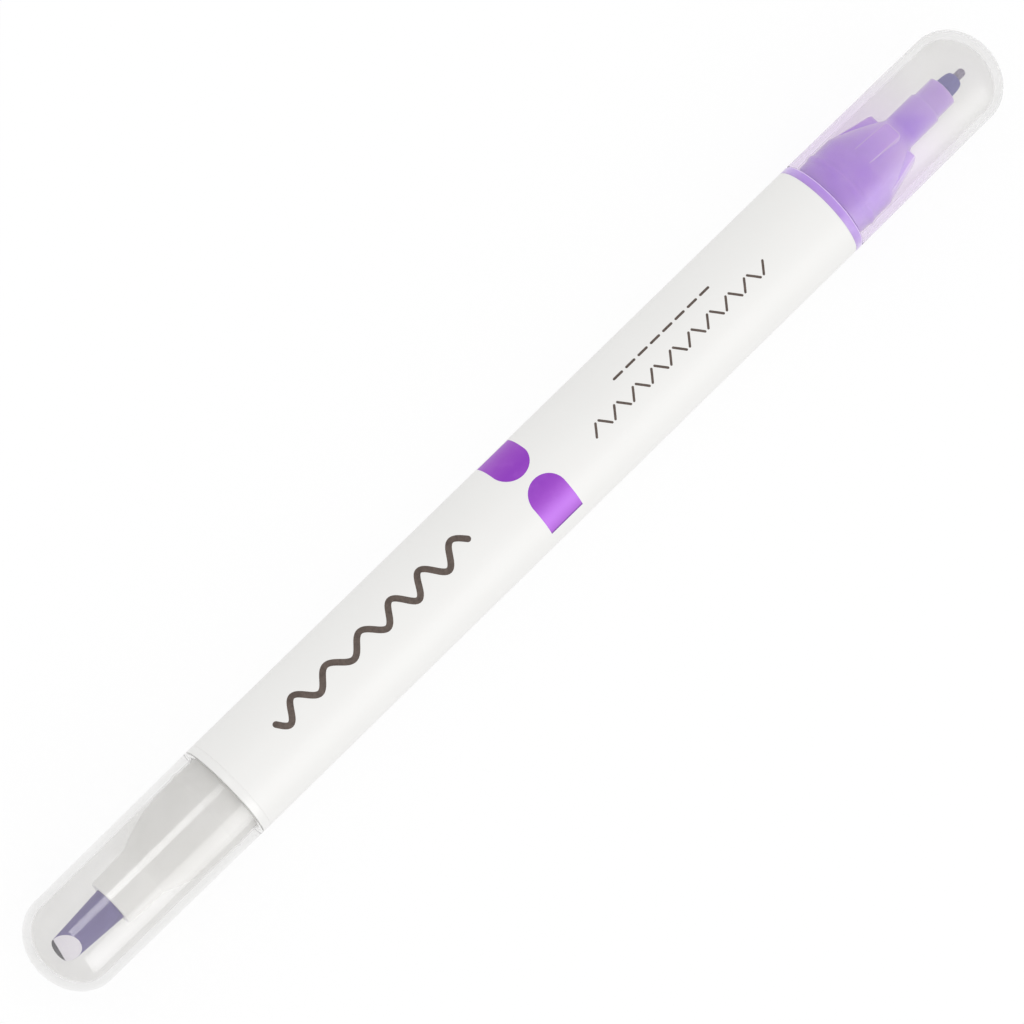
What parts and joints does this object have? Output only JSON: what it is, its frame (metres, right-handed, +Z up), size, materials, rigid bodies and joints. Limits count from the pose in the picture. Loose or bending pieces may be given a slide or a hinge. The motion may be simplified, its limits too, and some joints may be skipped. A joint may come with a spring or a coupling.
{
  "type": "fabric marking pen",
  "caption": "Double-ended fabric marking pen with a fine nib at one end and a chisel nib at the other, each under a clear domed pull-off cap on a plain round barrel.",
  "frame": {"origin": "bottom centre of the pen lying on its side: half way between the two cap ends, on the surface that it rests on, under the pen's axis", "axes": "+X along the pen towards the fine nib, +Z up through the side that shows the round ends of the two colour marks, +Y across"},
  "size_m": [0.142, 0.0116, 0.0116],
  "materials": {
    "barrel_white": "glossy opaque white moulded polypropylene",
    "holder_white": "glossy white moulded plastic, slightly translucent",
    "holder_purple": "glossy translucent purple moulded plastic",
    "cap_clear": "clear polished moulded plastic",
    "mark_purple": "deep purple print with a soft metallic sheen",
    "print_dark": "thin dark brown print on the barrel, with no node of its own",
    "nib_ink": "bonded polyester fibre, soaked with dark purple ink",
    "reservoir_fibre": "fibre wad soaked with purple ink",
    "reservoir_film": "thin clear film"
  },
  "bodies": {
    "pen": {"barrel": "barrel_white", "colour_marks": "mark_purple", "reservoir_core": "reservoir_fibre", "reservoir_film": "reservoir_film", "fine_holder": "holder_purple", "fine_nib": "nib_ink", "chisel_holder": "holder_white", "chisel_nib": "nib_ink"},
    "fine_cap": {"fine_cap": "cap_clear"},
    "chisel_cap": {"chisel_cap": "cap_clear"}
  },
  "joints": [
    {"name": "fine_cap_pull", "type": "slide", "parent": "pen", "child": "fine_cap", "axis": [1, 0, 0], "range_m": [0, 0.03]},
    {"name": "chisel_cap_pull", "type": "slide", "parent": "pen", "child": "chisel_cap", "axis": [-1, 0, 0], "range_m": [0, 0.032]}
  ]
}
